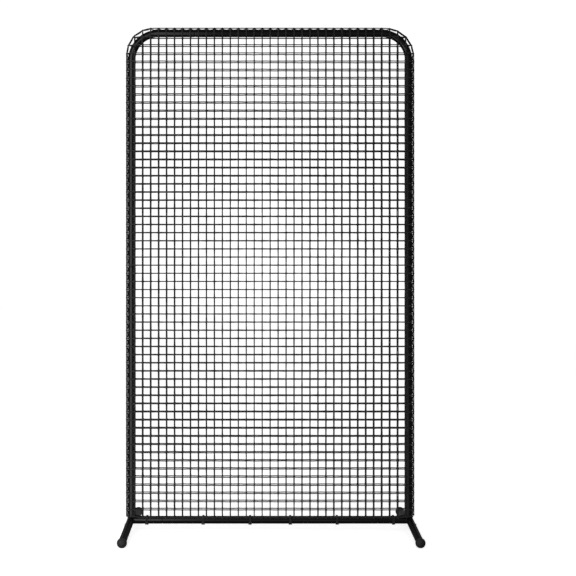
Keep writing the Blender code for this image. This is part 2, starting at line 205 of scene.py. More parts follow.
def stations(marks, holes):
    """Where rings stand along a tube: its marks, and seven close rings at each hole."""
    close = (np.asarray(holes)[:, None] + hole_ring_step * np.arange(-3, 4)).ravel()
    along = np.unique(np.round(np.concatenate([marks, close]), 6))
    return along, [int(np.searchsorted(along, round(h, 6))) for h in holes]


def with_wall(tube, wall=tube_wall):
    """Joins a tube's skins at its holes, gives it a wall inwards, and breaks its sharp edges."""
    joined = tube.modifiers.new("joined", "WELD")
    joined.merge_threshold = 0.00001
    thick = tube.modifiers.new("wall", "SOLIDIFY")
    thick.thickness, thick.offset = wall, -1.0
    edge = tube.modifiers.new("deburred", "BEVEL")
    edge.width, edge.segments, edge.limit_method = 0.0003, 2, "ANGLE"
    edge.angle_limit = math.radians(50)
    return tube


class Wire:
    """A socket of a shader. Sums, differences and products on it add Math nodes."""

    def __init__(self, tree, socket=None):
        self.tree, self.socket = tree, socket

    def node(self, kind, settings=None, values=None, out=0):
        """Adds a node: its type, its settings, the values or wires of its inputs."""
        made = self.tree.nodes.new("ShaderNode" + kind)
        for name, value in (settings or {}).items():
            if name == "stops":
                ramp = made.color_ramp
                while len(ramp.elements) < len(value):
                    ramp.elements.new(0.5)
                for element, (place, colour) in zip(ramp.elements, value):
                    element.position, element.color = place, (*colour, 1.0)
            else:
                setattr(made, name, value)
        for name, value in (values or {}).items():
            if isinstance(value, Wire):
                self.tree.links.new(value.socket, made.inputs[name])
            else:
                made.inputs[name].default_value = value
        return Wire(self.tree, made.outputs[out])

    def math(self, operation, *values):
        return self.node("Math", {"operation": operation}, dict(enumerate(values)))

    def __add__(self, other):
        return self.math("ADD", self, other)

    def __sub__(self, other):
        return self.math("SUBTRACT", self, other)

    def __rsub__(self, other):
        return self.math("SUBTRACT", other, self)

    def __mul__(self, other):
        return self.math("MULTIPLY", self, other)

    __radd__, __rmul__ = __add__, __mul__

    def mixed(self, low, high):
        """A colour between low and high, by this share."""
        values = {0: self, 6: (*low, 1.0), 7: (*high, 1.0)}
        return self.node("Mix", {"data_type": "RGBA"}, values, out=2)


def finish_of(name, roughness=0.5, metallic=0.0, **fixed):
    """A material, its shader, and a first wire in its tree."""
    material = bpy.data.materials.new(name)
    material.use_nodes = True
    shader = material.node_tree.nodes["Principled BSDF"]
    shader.inputs["Roughness"].default_value = roughness
    shader.inputs["Metallic"].default_value = metallic
    for socket, value in fixed.items():
        shader.inputs[socket.replace("_", " ")].default_value = value
    return material, shader, Wire(material.node_tree)


def feed(shader, socket, wire):
    wire.tree.links.new(wire.socket, shader.inputs[socket])


def feed_bumps(shader, height, strength, distance):
    """Tilts the shader's normal by bumps of this height, the distance deep in metres."""
    values = {"Height": height, "Strength": strength, "Distance": distance}
    feed(shader, "Normal", height.node("Bump", values=values))


# Powder coat flows into a fine skin of low bumps, and is a touch duller where it is thick.
powder_coat, shader, wire = finish_of("black_powder_coat", IOR=1.42)
place = wire.node("TexCoord", out=3)
peel = wire.node("TexNoise", values={"Vector": place, "Scale": 520.0, "Detail": 2.0})
cloud = wire.node("TexNoise", values={"Vector": place, "Scale": 14.0, "Detail": 3.0})
specks = wire.node("TexNoise", values={"Vector": place, "Scale": 2600.0, "Detail": 1.0})
feed(shader, "Base Color", cloud.mixed((0.0030, 0.0031, 0.0034), (0.0048, 0.0049, 0.0052)))
feed(shader, "Roughness", 0.12 + 0.06 * cloud + 0.04 * specks)
feed_bumps(shader, peel + 0.25 * specks, strength=0.18, distance=0.0004)


def plugged_tube(name, start, end, facing=rear, plugs=2):
    """A tube with a plug before its start and, if it has two, another past its end.

    The radius is a function of the length along: the plug's, up a smooth step over the
    shoulder to the tube's, and down again at the second plug.
    """
    start, end = np.array(start), np.array(end)
    total = np.linalg.norm(end - start)
    step = np.append(np.linspace(0.0, shoulder_length, 7), shoulder_length + rim_width)
    rim = np.array([0.0, rim_width])
    far_end = [*(total + plug_length - rim), *(total - step)] if plugs == 2 else total - rim
    holes = [-plug_length / 2, total + plug_length / 2][:plugs]
    along, rows = stations(np.array([*(rim - plug_length), *step, *far_end]), holes)
    inside = np.minimum(along, total - along) if plugs == 2 else along
    swell = (1 - np.cos(np.pi * np.clip(inside / shoulder_length, 0.0, 1.0))) / 2
    radius = plug_radius + (tube_radius - plug_radius) * swell
    path = start + along[:, None] * unit(end - start)
    points = rings_along(path, facing, radius[None], tube_sides)
    skins = with_holes(points, path, facing, rows)
    tube = with_wall(piece(f"painted_{name}", skins, powder_coat))
    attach(tube, "screen")
    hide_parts(name)


plugged_tube("top_tube", (-bend_end_x, 0, top_z), (bend_end_x, 0, top_z))
plugged_tube("bottom_bar", (-stub_end_x, 0, bar_z), (stub_end_x, 0, bar_z))
for label, side in sides.items():
    x = side * side_x
    plugged_tube(f"upright_{label}", (x, 0, stub_end_z), (x, 0, bend_end_z))

# ---------------------------------------------------------------------------
# Corner bends
# The same tube, bent cold on a mandrel through a quarter turn, with a short leg on top and
# a metre-long leg down the side. Both ends are plain sockets, drilled for the sprung button.
# ---------------------------------------------------------------------------

bend_radius = 0.114
top_run = side_x - bend_radius - bend_end_x
side_run = top_z - bend_radius - bend_end_z
arc = bend_radius * math.pi / 2


def bend_path(side, along):
    """The bend's centreline by the length along it: straight, a quarter circle, straight."""
    turn = np.clip((along - top_run) / bend_radius, 0.0, math.pi / 2)
    before, after = np.minimum(along, top_run), np.maximum(along - top_run - arc, 0.0)
    x = bend_end_x + before + bend_radius * np.sin(turn)
    z = top_z - bend_radius * (1 - np.cos(turn)) - after
    return np.stack([side * x, 0 * x, z], -1)


for label, side in sides.items():
    total = top_run + arc + side_run
    ends = [0.0, rim_width, total - rim_width, total]
    turns = top_run + arc * np.linspace(0, 1, 33)
    beside = [top_run - rim_width, top_run + arc + rim_width]
    marks = np.concatenate([ends, turns, beside])
    along, rows = stations(marks, [plug_length / 2, total - plug_length / 2])
    path = bend_path(side, along)
    points = rings_along(path, rear, tube_radius, tube_sides)
    skins = with_holes(points, path, rear, rows)
    bend = with_wall(piece(f"painted_corner_bend_{label}", skins, powder_coat))
    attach(bend, "screen")
    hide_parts(f"corner_bend_{label}")

# ---------------------------------------------------------------------------
# Bottom corner fittings
# Three tubes welded up before coating: a shallow V that takes the two legs, a short stub
# for the upright and one for the bottom bar, each coped to sit on the V, with a bead round it.
# ---------------------------------------------------------------------------

leg_socket = 0.100
leg_outset = 0.0045
foot_reach = 0.325
foot_z = 0.0197
slope = math.atan2(bar_z - foot_z, foot_reach)
leg_x = side_x + leg_outset
stub_up = stub_end_z - bar_z
stub_in = side_x - stub_end_x
v_rounding, v_half_run = 0.004, 0.016
cope_sink, above_cope = 0.0004, 0.024
bead_radius, bead_ripple, ripple_length = 0.0019, 0.00018, 0.0026
bead_steps, bead_sides = 240, 12


def along_v(along):
    """A shallow V in the plane of the legs: height = -tan(slope) . root(y^2 + rounding^2)."""
    y = along * math.cos(slope)
    soft = np.sqrt(y**2 + v_rounding**2) * math.tan(slope)
    return np.stack([0 * y, y, -soft], -1)


def upright_floor(out, y):
    """Height of what the upright's stub stands on, over the point where the centrelines meet.

    It is the higher of the V's top, root(r^2 - (out - outset)^2) / cos - |y| tan, and of the
    bar stub's top, root(r^2 - y^2), which lies only on the inner side.
    """
    on_v = np.sqrt(np.maximum(tube_radius**2 - (out - leg_outset) ** 2, 0.0))
    on_v = on_v / math.cos(slope) - np.abs(y) * math.tan(slope)
    on_bar = np.sqrt(np.maximum(tube_radius**2 - y**2, 0.0))
    return np.where(out < 0, np.maximum(on_v, on_bar), on_v)


def bar_floor(y, z):
    """How far in the V's flank lies: root(r^2 - over^2) - outset.

    over = (z + |y| tan) cos is the height over the V's centreline, square to it.
    """
    over = (z + np.abs(y) * math.tan(slope)) * math.cos(slope)
    return np.sqrt(np.maximum(tube_radius**2 - over**2, 0.0)) - leg_outset


def weld_bead(path, facing, looped):
    """A bead along a seam: a round profile whose radius ripples as a cosine of its run."""
    step = np.linalg.norm(np.diff(path, axis=0, append=path[:1]), axis=1)
    run = np.concatenate([[0.0], np.cumsum(step)[:-1]])
    radius = bead_radius + bead_ripple * np.cos(2 * np.pi * run / ripple_length)
    if not looped:
        radius = radius * np.clip(np.minimum(run, run[-1] - run) / 0.004 + 0.25, 0.0, 1.0)
        return skin(rings_along(path, facing, radius[None], bead_sides))
    path, facing, radius = (np.concatenate([a[-1:], a, a[:1]]) for a in (path, facing, radius))
    return skin(rings_along(path, facing, radius[None], bead_sides)[:, 1:-1], looped=True)


def stub(node, way, floor, length, facing):
    """A stub whose two lowest rings follow the tubes that it meets: height = floor(angle)."""
    hole = length - plug_length / 2
    marks = np.array([0.0, rim_width, above_cope, length - rim_width, length])
    along, rows = stations(marks, [hole])
    path = node + along[:, None] * way
    points = rings_along(path, facing, tube_radius, tube_sides)
    points[0, :2] += floor[:, None] * way
    return with_holes(points, path, facing, rows)


for label, side in sides.items():
    node = np.array([side * side_x, 0.0, bar_z])
    outward, up = np.array([side, 0.0, 0.0]), np.array([0.0, 0.0, 1.0])
    hole = leg_socket - plug_length / 2
    ends = np.array([leg_socket, leg_socket - rim_width])
    marks = np.concatenate([ends, -ends, np.linspace(-v_half_run, v_half_run, 17)])
    along, rows = stations(marks, [-hole, hole])
    path = node + leg_outset * outward + along_v(along)
    points = rings_along(path, outward, tube_radius, tube_sides)
    skins = with_holes(points, path, outward, rows)

    angle = 2 * np.pi * np.arange(tube_sides) / tube_sides - np.pi
    reach, swing = np.cos(angle) * tube_radius, np.sin(angle) * tube_radius
    skins += stub(node, up, upright_floor(-side * swing, reach) - cope_sink, stub_up, rear)
    y, z = reach, -side * swing
    on_upright = np.where(z > 0, np.sqrt(np.maximum(tube_radius**2 - y**2, 0.0)), -1.0)
    in_floor = np.maximum(bar_floor(y, z), on_upright)
    skins += stub(node, -outward, in_floor - cope_sink, stub_in, rear)
    fitting = with_wall(piece(f"painted_corner_fitting_{label}", skins, powder_coat))
    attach(fitting, "screen")
    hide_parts(f"corner_fitting_{label}")

    # One bead runs round the upright's stub, and one under and beside the bar's.
    turn = 2 * np.pi * np.arange(bead_steps) / bead_steps
    x, y = np.cos(turn) * tube_radius, np.sin(turn) * tube_radius
    ring = node + np.stack([x, y, upright_floor(side * x, y)], -1)
    beads = [weld_bead(ring, np.stack([x, y, 0 * x], -1), True)]
    turn = np.radians(np.linspace(132, 408, 170))
    y, z = np.cos(turn) * tube_radius, np.sin(turn) * tube_radius
    ring = node + np.stack([-side * bar_floor(y, z), y, z], -1)
    beads.append(weld_bead(ring, np.stack([0 * y, y, z], -1), False))
    weld = piece(f"weld_{label}", beads, powder_coat)
    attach(weld, "screen")

# ---------------------------------------------------------------------------
# Legs
# Four short tubes of the same steel, each with one swaged plug that slides into the V's
# socket, where a sprung button locks it. The open lower end is inside a rubber foot.
# ---------------------------------------------------------------------------

leg_length = math.hypot(foot_reach, bar_z - foot_z)
foot_depth = 0.0045
depths = {"front": -1.0, "rear": 1.0}

for label, side in sides.items():
    for end, depth in depths.items():
        node = np.array([side * leg_x, 0.0, bar_z])
        way = np.array([0.0, depth * math.cos(slope), -math.sin(slope)])
        socket_end, tip = node + leg_socket * way, node + (leg_length + foot_depth) * way
        plugged_tube(f"leg_{end}_{label}", socket_end, tip, np.array([side, 0.0, 0.0]), plugs=1)

# ---------------------------------------------------------------------------
# Ball feet
# Black rubber, moulded in one: a ball with a socket, pushed over the leg's end, and a thin
# rolled rim round the socket's mouth. The mould leaves a fine line round the ball.
# ---------------------------------------------------------------------------

ball_radius = 0.0205
rim_depth = 0.0105
socket_radius = 0.0161
rim_radius = 0.0009
clearance = 0.0003
mould_line, line_from_tip, line_spread = 0.00012, 1.3, 0.035
rim_blend = 0.06

rubber, shader, wire = finish_of("black_rubber", roughness=0.7, IOR=1.45)
place = wire.node("TexCoord", out=3)
grain = wire.node("TexNoise", values={"Vector": place, "Scale": 1400.0, "Detail": 3.0})
dust = wire.node("TexNoise", values={"Vector": place, "Scale": 60.0, "Detail": 4.0})
feed(shader, "Base Color", dust.mixed((0.022, 0.022, 0.0225), (0.034, 0.034, 0.0345)))
feed(shader, "Roughness", 0.58 + 0.2 * dust)
feed_bumps(shader, grain, strength=0.25, distance=0.0003)


def turned_rings(node, way, facing, profile, count):
    """A turned shape: each (radius, height) of the profile is a ring square to the way."""
    profile = np.asarray(profile)
    across = np.cross(way, facing)
    angle = 2 * np.pi * np.arange(count) / count - np.pi
    ring = np.cos(angle)[:, None] * facing + np.sin(angle)[:, None] * across
    return (node + profile[:, 1, None, None] * way + profile[:, 0, None, None] * ring)[None]


def foot_profile():
    """The socket's floor and wall, a half-round rim, then the ball from the rim to its tip.

    The ball's radius is root(R^2 - height^2), with a low line 75 degrees from the tip.
    """
    turn = np.radians(np.linspace(180, 0, 9))
    middle = socket_radius + rim_radius
    across, height = rim_radius * np.cos(turn), rim_radius * np.sin(turn)
    rim = np.stack([middle + across, -rim_depth - height], -1)
    start = math.atan2(rim[-1, 0], rim[-1, 1])
    polar = np.linspace(start, 0.0, 40)
    line = mould_line * np.exp(-((polar - line_from_tip) / line_spread) ** 2)
    merge = np.clip((start - polar) / rim_blend, 0.0, 1.0)
    radius = ball_radius * merge + np.hypot(*rim[-1]) * (1 - merge) + line
    ball = np.stack([radius * np.sin(polar), radius * np.cos(polar)], -1)
    floor = foot_depth + clearance
    inner = np.array([[0.0, floor], [socket_radius, floor]])
    return np.concatenate([inner, rim, ball[1:]])


for label, side in sides.items():
    for end, depth in depths.items():
        way = np.array([0.0, depth * math.cos(slope), -math.sin(slope)])
        centre = np.array([side * leg_x, 0.0, bar_z]) + leg_length * way
        points = turned_rings(centre, way, np.array([side, 0.0, 0.0]), foot_profile(), 64)
        points[..., 2] = np.maximum(points[..., 2], 0.0)
        name = f"foot_{end}_{label}"
        foot = piece(f"moulded_{name}", [skin(points, capped=False)], rubber)
        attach(foot, "screen")
        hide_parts(name)

# ---------------------------------------------------------------------------
# Sprung buttons and their leaves
# A pressed steel button on a strip bent to a V lies inside each plug and stands out through both
# walls. Zinc plated, so bright with a faint grey cloud. Pressing the real button closes the V;
# here the leaf is built in its rest shape only.
# ---------------------------------------------------------------------------

button_radius = 0.0037
button_top = 0.0035
dome_height, dome_power = 0.0024, 2.6
leaf_level = 0.01096
leaf_tail, leaf_flat = 0.009, 0.012
leaf_half_width = 0.0040
leaf_half_thickness = 0.0004
nose_middle, nose_radius = 0.0426, 0.0034

zinc, shader, wire = finish_of("zinc_plated_steel", metallic=1.0)
place = wire.node("TexCoord", out=3)
bloom = wire.node("TexNoise", values={"Vector": place, "Scale": 220.0, "Detail": 4.0})
feed(shader, "Base Color", bloom.mixed((0.46, 0.47, 0.49), (0.62, 0.62, 0.61)))
feed(shader, "Roughness", 0.24 + 0.22 * bloom)
feed_bumps(shader, bloom, strength=0.08, distance=0.0003)


def button_profile(low, high):
    """A pin with a domed end: (radius share)^p + (height share)^p = 1, with p the dome's power."""
    share = np.linspace(0.0, 1.0, 12)
    dome = button_radius * (1 - (1 - share) ** dome_power) ** (1 / dome_power)
    height = high - dome_height * share
    pin = [[0.0, low], [button_radius, low]]
    return np.concatenate([pin, np.stack([dome, height], -1)[::-1]])


def button(name, place, into_plug, out):
    place, out = np.array(place), np.array(out)
    low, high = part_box(name)
    bottom = min((np.array(low) - place) @ out, (np.array(high) - place) @ out)
    profile = button_profile(bottom, tube_radius + button_top)
    points = turned_rings(place, out, np.array(into_plug), profile, 32)
    made = piece(f"domed_{name}", [skin(points, capped=False)], zinc)
    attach(made, name)
    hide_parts(name)
    leaf_spring(name.replace("button", "spring"), place, np.array(into_plug), out)


def leaf_spring(name, place, into_plug, out):
    """A strip bent to a V: a flat leaf under the button, a slant, a half-round nose, and back."""
    turn = np.radians(np.linspace(90, -90, 13))
    nose = np.stack([nose_middle + nose_radius * np.cos(turn), nose_radius * np.sin(turn)], -1)
    upper = [[-leaf_tail, leaf_level], [leaf_flat, leaf_level]]
    lower = [[leaf_flat, -leaf_level], [0.0, -leaf_level]]
    along, level = np.concatenate([upper, nose, lower]).T[..., None]
    path = place + along * into_plug + level * out
    side = np.cross(into_plug, out)
    face = np.cross(unit(np.gradient(path, axis=0)), side)
    corner = np.array([[-1, -1], [1, -1], [1, 1], [-1, 1]])[..., None]
    section = leaf_half_width * corner[:, 0] * side
    section = section + leaf_half_thickness * corner[:, 1] * face[:, None]
    spring = piece(f"bent_{name}", [skin((path[:, None] + section)[None])], zinc, smooth=False)
    reach = 0.9 * leaf_level * out
    place - reach
    place + reach
    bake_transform(spring)
    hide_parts(name)


half_plug = plug_length / 2
for label, side in sides.items():
    outward = np.array([side, 0.0, 0.0])
    down, x = np.array([0.0, 0.0, -1.0]), side * side_x
    button(f"button_top_{label}", (side * (bend_end_x + half_plug), 0, top_z), -outward, rear)
    button(f"button_side_{label}", (x, 0, bend_end_z + half_plug), down, rear)
    button(f"button_upright_{label}", (x, 0, stub_end_z - half_plug), -down, rear)
    button(f"button_bar_{label}", (side * (stub_end_x + half_plug), 0, bar_z), -outward, rear)
    for end, depth in depths.items():
        way = np.array([0.0, depth * math.cos(slope), -math.sin(slope)])
        place_on_leg = np.array([side * leg_x, 0.0, bar_z]) + way * (leg_socket - half_plug)
        button(f"button_leg_{end}_{label}", place_on_leg, way, outward)

# ---------------------------------------------------------------------------
# Net: front and back sheets
# Knotted square mesh of black twine, 4.6 mm thick, 34 by 35 mm a mesh. The two sheets
# form a sleeve that is pulled down over the frame, so each lies on the tubes and rolls over.
# ---------------------------------------------------------------------------

twine_radius = 0.0023
columns, rows_of_net = 35, 59
pitch_x, pitch_z = 0.03418, 0.03489
second_row_z = 2.0818
roll_radius = 0.0180
seam_x, seam_top = 0.6159, 2.1559
corner_left, corner_right = 0.112, 0.120
rope_z, rope_y = 0.0652, 0.0187
rope_low_z, rope_low_y = 0.0586, 0.0155
rope_fall = 0.050
gather_z = 0.105
wander_size = 0.00017
column_x = (np.arange(1, columns + 1) - 18) * pitch_x
row_z = second_row_z - (np.arange(1, rows_of_net + 1) - 2) * pitch_z

# Twine is laid from three strands, so its bumps wind along it, and its colour darkens in the
# grooves between strands as painted shading. Fibre and worn noise vary its tone at random.
twine, shader, wire = finish_of("black_twine", roughness=0.85, IOR=1.4)
shader.inputs["Sheen Weight"].default_value = 0.15
shader.inputs["Sheen Roughness"].default_value = 0.5
around, along = (
    wire.node("SeparateXYZ", values={0: wire.node("UVMap", {"uv_map": "along"})}, out=k)
    for k in (0, 1)
)
strand = wire.math("ABSOLUTE", wire.math("FRACT", around * 3.0 + along * 170.0) - 0.5)
place = wire.node("TexCoord", out=3)
fibre = wire.node("TexNoise", values={"Vector": place, "Scale": 1900.0, "Detail": 2.0})
worn = wire.node("TexNoise", values={"Vector": place, "Scale": 9.0, "Detail": 3.0})
# Painted shading: the strand term darkens the colour towards the grooves between strands.
tone_and_groove_shade = 0.35 * fibre + 0.35 * worn + 0.5 * (0.5 - strand)
feed(shader, "Base Color", tone_and_groove_shade.mixed((0.014, 0.014, 0.0145), (0.052, 0.052, 0.053)))
feed(shader, "Roughness", 0.74 + 0.2 * fibre)
relief = 1.0 - strand * strand * 4.0 + 0.35 * fibre
feed_bumps(shader, relief, strength=0.6, distance=0.0005)


def corner_radius(x):
    """The radius of the seam's corner, tighter on the left, where the net is pulled out more."""
    return np.where(np.asarray(x) < 0, corner_left, corner_right)


def seam_reach(level, side):
    """How far out the seam is at a height: x = c + root(r^2 - over^2), over the arc's centre."""
    radius = corner_radius(side)
    over = np.maximum(level - (seam_top - radius), 0.0)
    return seam_x - radius + np.sqrt(np.maximum(radius**2 - over**2, 0.0))


def seam_height(x):
    """How high the seam is at a distance from the middle, by the same arcs."""
    radius = corner_radius(x)
    over = np.maximum(np.abs(x) - (seam_x - radius), 0.0)
    return seam_top - radius + np.sqrt(np.maximum(radius**2 - over**2, 0.0))


def sheet_depth(x, z):
    """How far in front of the frame's plane a sheet lies at a point.

    d is the distance out from the tubes' centreline and e the seam's, both along the same
    line. The sheet lies flat at the roll's radius where d < 0, rolls over the tube as
    root(r^2 - d^2) until its tangent points at the seam, and runs straight to it.
    """
    centre_x, centre_z = side_x - bend_radius, top_z - bend_radius
    dx, dz = np.abs(x) - centre_x, z - centre_z
    far = np.maximum(np.hypot(dx, dz), 1e-9)
    ux, uz = dx / far, dz / far
    radius = corner_radius(x)
    shift_x, shift_z = seam_x - radius - centre_x, seam_top - radius - centre_z
    toward = ux * shift_x + uz * shift_z
    inside = toward**2 - shift_x**2 - shift_z**2 + radius**2
    on_arc = toward + np.sqrt(np.maximum(inside, 0.0))
    on_side = (seam_x - centre_x) / np.maximum(np.maximum(ux, uz), 0.5)
    straight = on_side * np.minimum(ux, uz) < shift_x
    corner = (dx > 0) & (dz > 0)
    edge = np.where(corner, np.where(straight, on_side, on_arc) - bend_radius, seam_x - side_x)
    d = np.where(corner, far, np.maximum(dx, dz)) - bend_radius
    touch = roll_radius**2 / edge
    rolled = np.sqrt(np.maximum(roll_radius**2 - np.clip(d, 0.0, touch) ** 2, 0.0))
    run = np.clip((edge - d) / (edge - touch), 0.0, 1.0)
    return np.where(d > touch, rolled * run, rolled)


def rope_place(x):
    """How far from the frame's plane and how high the rope lies.

    It eases down from the leg sockets onto the bar by s^2 (3 - 2 s).
    """
    share = np.clip((side_x - np.abs(x)) / rope_fall, 0.0, 1.0)
    eased = share**2 * (3 - 2 * share)
    return rope_y + (rope_low_y - rope_y) * eased, rope_z + (rope_low_z - rope_z) * eased


def wander(a, b, start):
    """How far a string lies off its straight line: three waves, 0.5 mm at most together."""
    waves = np.sin(31 * a + 17 * b + start) + np.sin(83 * a - 59 * b + 2 * start)
    return wander_size * (waves + np.sin(127 * a + 171 * b - start))


def string_places(start, end, between, last_close=True):
    """Places along strings: close ones where they roll over a tube, even ones between."""
    close = np.array([0.0, 0.0035, 0.007, 0.0105, 0.014, 0.018, 0.022, 0.027, 0.033, 0.040])
    start, end = start[:, None], end[:, None]
    way = np.sign(end - start)
    first = start + way * close
    last = end - way * (close[::-1] if last_close else close[:1])
    share = np.linspace(0, 1, between + 2)[1:-1]
    return np.concatenate([first, first[:, -1:] + (last[:, :1] - first[:, -1:]) * share, last], 1)


def loops(centres, a, b, tube, steps, corners):
    """Small rings of twine: centre + cos t . a + sin t . b, each with a round section."""
    t = 2 * np.pi * np.arange(steps) / steps
    c = 2 * np.pi * np.arange(corners) / corners
    swing = np.cos(t)[:, None] * a[:, None] + np.sin(t)[:, None] * b[:, None]
    outward, axis = unit(swing), unit(np.cross(b, a))[:, None]
    circle = np.cos(c)[:, None] * outward[:, :, None] + np.sin(c)[:, None] * axis[:, :, None]
    return skin(centres[:, None, None] + swing[:, :, None] + tube * circle, looped=True)


# A knot's turn: half its width, half its depth and its thickness. Its lump: three six-sided
# rings, each lifted off the sheet and spread by so much.
turn_across, turn_deep, turn_thick = 0.0036, 0.0037, 0.0016
lump_lift = np.array([-0.0028, 0.0, 0.0030])
lump_spread = np.array([0.0028, 0.0043, 0.0027])

for sheet_name, face in (("front", -1.0), ("back", 1.0)):
    start = 2.0 + face
    x = string_places(-seam_reach(row_z, -1), seam_reach(row_z, 1), 70)
    z = row_z[:, None] + wander(x, row_z[:, None], start)
    path = np.stack([x, face * sheet_depth(x, z), z], -1)
    across = skin(rings_along(path, np.array([0.0, 0.0, 1.0]), twine_radius, 6))

    z = string_places(seam_height(column_x), rope_place(column_x)[1], 118, last_close=False)
    x = column_x[:, None] + wander(z, column_x[:, None], start)
    drawn_in = np.clip((gather_z - z) / (gather_z - rope_low_z), 0.0, 1.0) ** 2
    depth = sheet_depth(x, z) * (1 - drawn_in) + rope_place(x)[0] * drawn_in
    path = np.stack([x, face * depth, z], -1)
    up_down = skin(rings_along(path, np.array([1.0, 0.0, 0.0]), twine_radius, 6))
    strings = piece(f"twine_{sheet_name}", [across, up_down], twine)
    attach(strings, "screen")
    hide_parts(f"net_{sheet_name}")

    grid_x, grid_z = (a.ravel() for a in np.meshgrid(column_x, row_z))
    cross_x = grid_x + wander(grid_z, grid_x, start)
    cross_z = grid_z + wander(grid_x, grid_z, start)
    in_reach = np.abs(cross_x) < seam_reach(cross_z, cross_x) - 0.004
    cross_x, cross_z = cross_x[in_reach], cross_z[in_reach]
    centres = np.stack([cross_x, face * sheet_depth(cross_x, cross_z), cross_z], -1)
    facing = np.broadcast_to([0.0, face, 0.0], centres.shape)

    # Each knot is a lump where the strings cross, with one slanted turn of twine round it.
    random = np.random.default_rng(7)
    tilt = np.radians(38 + random.normal(0, 6, len(centres)))
    slant = np.stack([np.cos(tilt), 0 * tilt, np.sin(tilt)], -1)
    turns = loops(centres, turn_across * slant, turn_deep * facing, turn_thick, 7, 4)
    angle = 2 * np.pi * np.arange(6) / 6
    lump = np.stack([np.cos(angle), 0 * angle, -face * np.sin(angle)], -1)
    lift = face * lump_lift[:, None, None] * [0.0, 1.0, 0.0]
    lump = lump_spread[:, None, None] * lump + lift
    lumps = skin(centres[:, None, None] + lump)
    knotted = piece(f"knots_{sheet_name}", [turns, lumps], twine)
    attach(knotted, "screen")

# ---------------------------------------------------------------------------
# Seam
# Two border strings, one along the edge of each sheet, hitched together outside the frame
# at every string of the net. Between the hitches the pulled edges open into narrow eyes.
# ---------------------------------------------------------------------------

seam_end_z, seam_middle_z = 0.0615, 1.0
corner_eye, straight_eye, side_less = 0.0028, 0.0038, 0.0021
hitch_across, hitch_deep, hitch_thick, hitch_lean = 0.0027, 0.0042, 0.0015, 0.4

left = np.stack([-seam_reach(row_z, -1), row_z], -1)
top = np.stack([column_x, seam_height(column_x)], -1)
right = np.stack([seam_reach(row_z, 1), row_z], -1)
ends = np.array([[-seam_x, seam_end_z], [seam_x, seam_end_z]])
hitched = np.concatenate([left, top, right, ends])
turn = np.arctan2(hitched[:, 1] - seam_middle_z, hitched[:, 0])
turn = np.where(turn < -np.pi / 2, turn + 2 * np.pi, turn)
hitched = hitched[np.argsort(-turn)]
hitched = np.stack([hitched[:, 0], 0 * hitched[:, 0], hitched[:, 1]], -1)

share = np.linspace(0, 1, 9)[:-1, None]
border = (hitched[:-1, None] * (1 - share) + hitched[1:, None] * share).reshape(-1, 3)
opening = np.tile(np.sin(np.pi * share[:, 0]) ** 0.6, len(hitched) - 1)[:, None]
outward = np.cross(unit(np.gradient(border, axis=0)), rear)
straight = np.clip((np.abs(outward).max(1, keepdims=True) - 0.985) / 0.014, 0.0, 1.0)
eye = corner_eye + (straight_eye - side_less * np.abs(outward[:, :1])) * straight
drawn_in = eye * opening * outward
depth = (0.0012 + 0.0006 * opening) * rear
border_strings = [
    skin(rings_along(border - drawn_in + depth, rear, twine_radius, 8)),
    skin(rings_along(border + 0.0003 * opening * outward - depth, rear, twine_radius, 8)),
]
run = unit(np.gradient(hitched, axis=0))[1:-1]
outward = np.cross(run, rear)
for lean in (-hitch_lean, hitch_lean):
    a = hitch_across * unit(outward + lean * run)
    b = np.broadcast_to(hitch_deep * rear, a.shape)
    border_strings.append(loops(hitched[1:-1], a, b, hitch_thick, 9, 5))
seam = piece("seam_cord", border_strings, twine)
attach(seam, "screen")
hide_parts("net_seam_cord")

# ---------------------------------------------------------------------------
# Mouth rope
# A 5 mm laid rope through the net's open lower edge, in one loop: along the bottom bar in
# front, round an upright, back behind the bar and round the other. Each string is hitched to it.
# ---------------------------------------------------------------------------

rope_radius = 0.0025
rope_lay, rope_dip = 0.0207, 0.0038
wrap_radius, wrap_thick, wrap_apart = 0.0036, 0.0015, 0.0028


def laid_rings(path, out, radius, pitch, count):
    """A rope of three strands: its radius swells over each strand as they turn with the run."""
    rings = rings_along(path, out, radius, count)[0]
    step = np.linalg.norm(np.diff(path, axis=0, prepend=path[:1]), axis=1)
    angle = 2 * np.pi * np.arange(count) / count - np.pi
    phase = 3 * (angle[None] - 2 * np.pi * np.cumsum(step)[:, None] / pitch) / 2
    swell = 0.84 + 0.22 * np.abs(np.cos(phase))
    return (path[:, None] + (rings - path[:, None]) * swell[..., None])[None]


def laid_loop(path, out, radius, pitch, count):
    """The same rope as an endless loop: the path's ends are lapped, then the laps cut off."""
    lapped = np.concatenate([path[-1:], path, path[:1]])
    return skin(laid_rings(lapped, out, radius, pitch, count)[:, 1:-1], looped=True)


swing = np.pi * (np.linspace(0, 1, 41)[:-1] - 0.5)
x, y = side_x + rope_y * np.cos(swing), rope_y * np.sin(swing)
right_end = np.stack([x, y, rope_z - rope_dip * np.cos(swing) ** 2], -1)
x = np.linspace(side_x, -side_x, 661)[:-1]
back_run = np.stack([x, *rope_place(x)], -1)
half_loop = np.concatenate([right_end, back_run])
rope_path = np.concatenate([half_loop, half_loop * [-1, -1, 1]])
up = np.array([0.0, 0.0, 1.0])
rope = piece("mouth_rope", [laid_loop(rope_path, up, rope_radius, rope_lay, 12)], twine)
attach(rope, "screen")
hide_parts("net_mouth_rope")

hitches = []
depth, height = rope_place(column_x)
a = np.broadcast_to([0.0, wrap_radius, 0.0], (columns, 3))
b = np.broadcast_to([0.0, 0.0, wrap_radius], (columns, 3))
for face in (-1.0, 1.0):
    for shift in (-wrap_apart / 2, wrap_apart / 2):
        centres = np.stack([column_x + shift, face * depth, height], -1)
        hitches.append(loops(centres, a, b, wrap_thick, 10, 5))
hitch = piece("mouth_hitches", hitches, twine)
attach(hitch, "screen")

# ---------------------------------------------------------------------------
# Ties
# Six short cords hold the mouth rope down: each goes twice round the bar and both runs of
# the rope, and ends low in front in a tight overhand knot with two cut and sealed tails.
# ---------------------------------------------------------------------------

